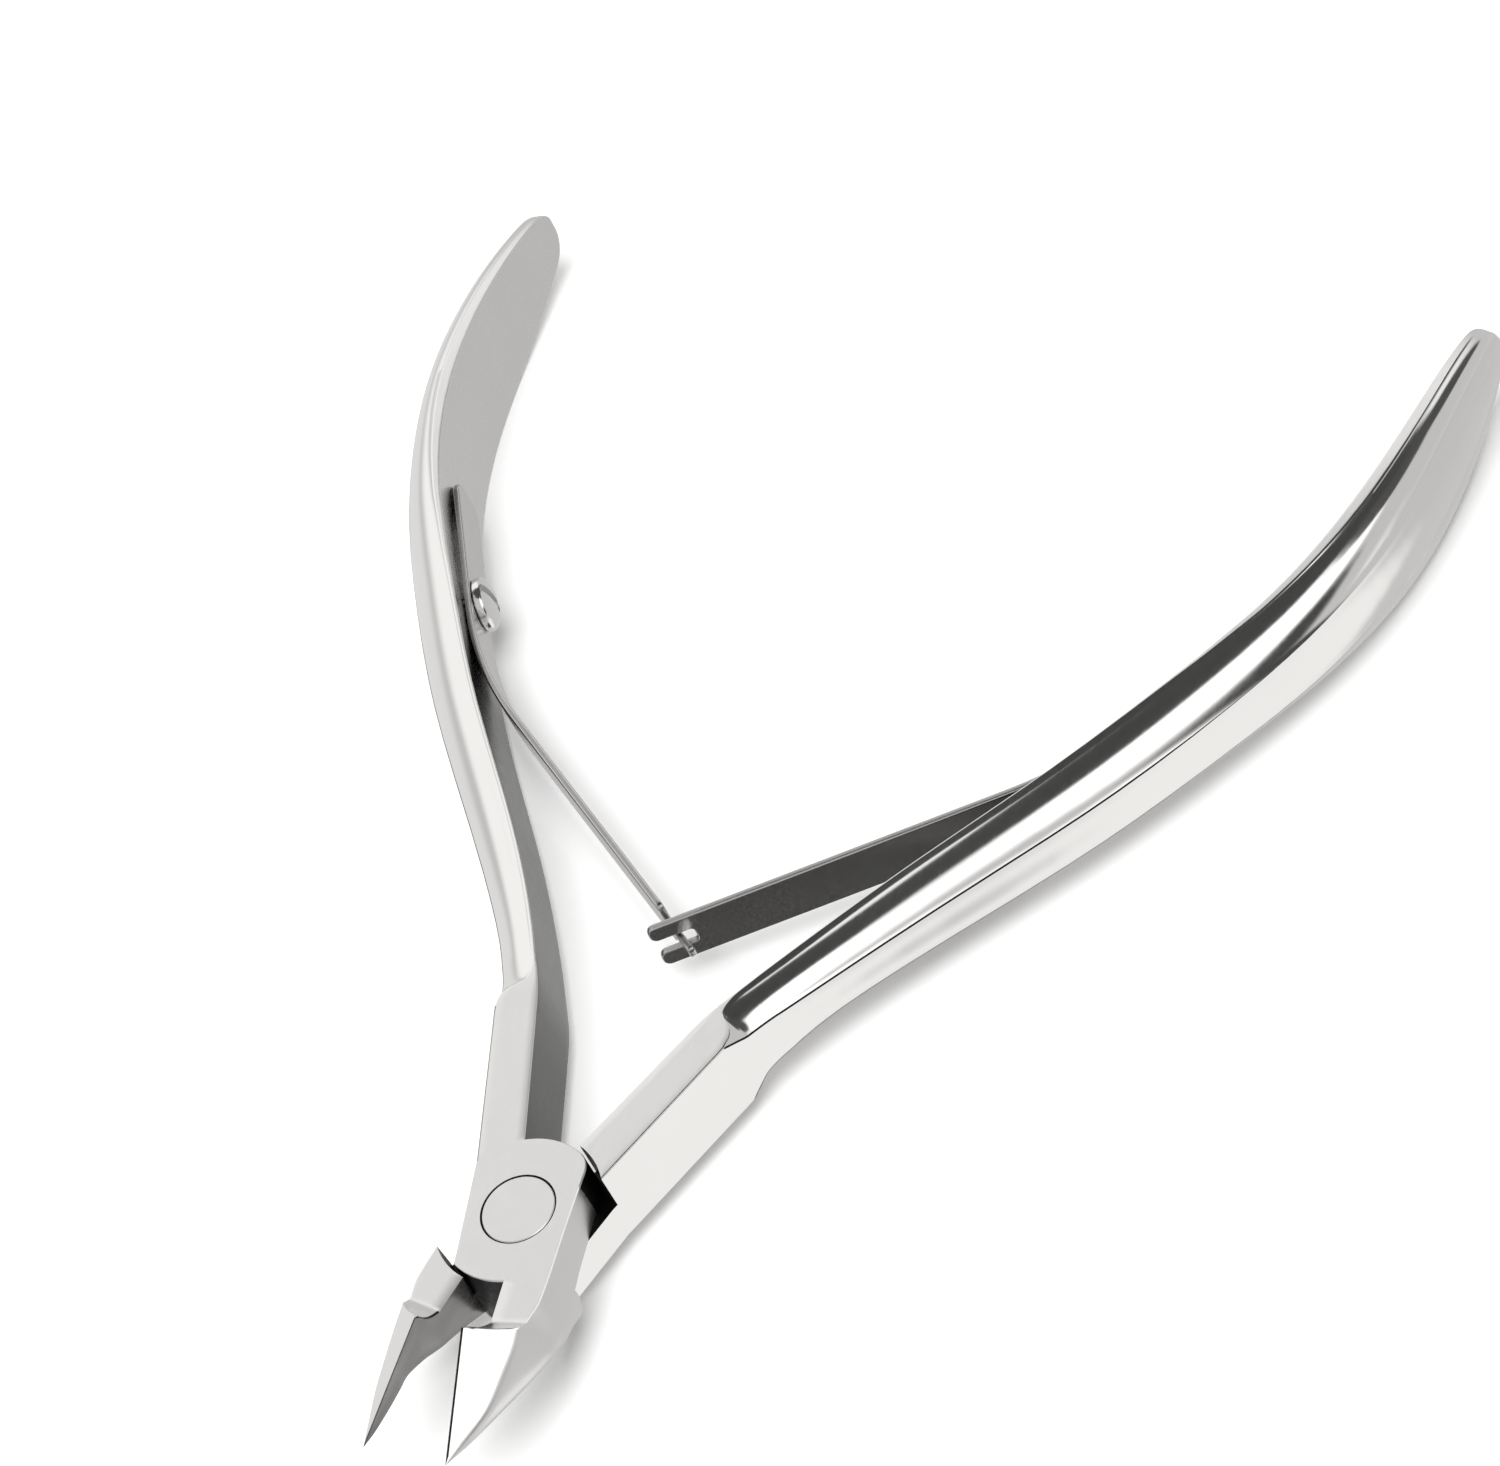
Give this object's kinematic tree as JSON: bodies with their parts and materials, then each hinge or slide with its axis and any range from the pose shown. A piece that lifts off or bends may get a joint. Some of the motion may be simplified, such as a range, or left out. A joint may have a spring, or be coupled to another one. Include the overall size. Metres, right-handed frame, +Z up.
{
  "type": "lap-joint cuticle nippers",
  "caption": "Hand nippers with short bevelled cutting jaws, a riveted lap joint, long curved handles and leaf springs that meet in a fork and hold them open.",
  "frame": {"origin": "on the pivot rivet's axis, at the joint's flat underside", "axes": "+Z up along the rivet's axis, out of the side the jaws' cutting edges rise to; +Y from the jaws towards the handles, halfway between them at rest; +X towards the handle of the lower half"},
  "size_m": [0.0858, 0.109, 0.0111],
  "materials": {
    "half_steel": "satin inner and joint faces, polished bevels and outer faces",
    "rivet_steel": "ground flush with the joint and brushed",
    "spring_steel": "smooth rolled strip, semi-bright",
    "screw_steel": "polished"
  },
  "bodies": {
    "lower": {"lower_half": "half_steel", "pivot_rivet": "rivet_steel", "fork_spring_screw": "screw_steel"},
    "upper": {"upper_half": "half_steel", "tongue_spring_screw": "screw_steel"},
    "fork_leaf": {"fork_spring": "spring_steel"},
    "tongue_leaf": {"tongue_spring": "spring_steel"}
  },
  "joints": [
    {"name": "pivot", "type": "hinge", "parent": "lower", "child": "upper", "pos_m": [0, 0, 0.00335], "axis": [0, 0, 1], "range_deg": [-19, 0], "stiffness_Nm_per_rad": 0.8, "springref_deg": 2.86},
    {"name": "fork_flex", "type": "hinge", "parent": "lower", "child": "fork_leaf", "pos_m": [0.02579, 0.04571, 0.00335], "axis": [0, 0, 1], "range_deg": [0, 10], "deforming": ["fork_spring"]},
    {"name": "tongue_flex", "type": "hinge", "parent": "upper", "child": "tongue_leaf", "pos_m": [-0.02579, 0.04571, 0.00335], "axis": [0, 0, 1], "range_deg": [-10, 0], "deforming": ["tongue_spring"]}
  ],
  "couplings": [
    {"joint": "fork_flex", "follows": "pivot", "ratio": -0.525},
    {"joint": "tongue_flex", "follows": "pivot", "ratio": 0.525}
  ]
}
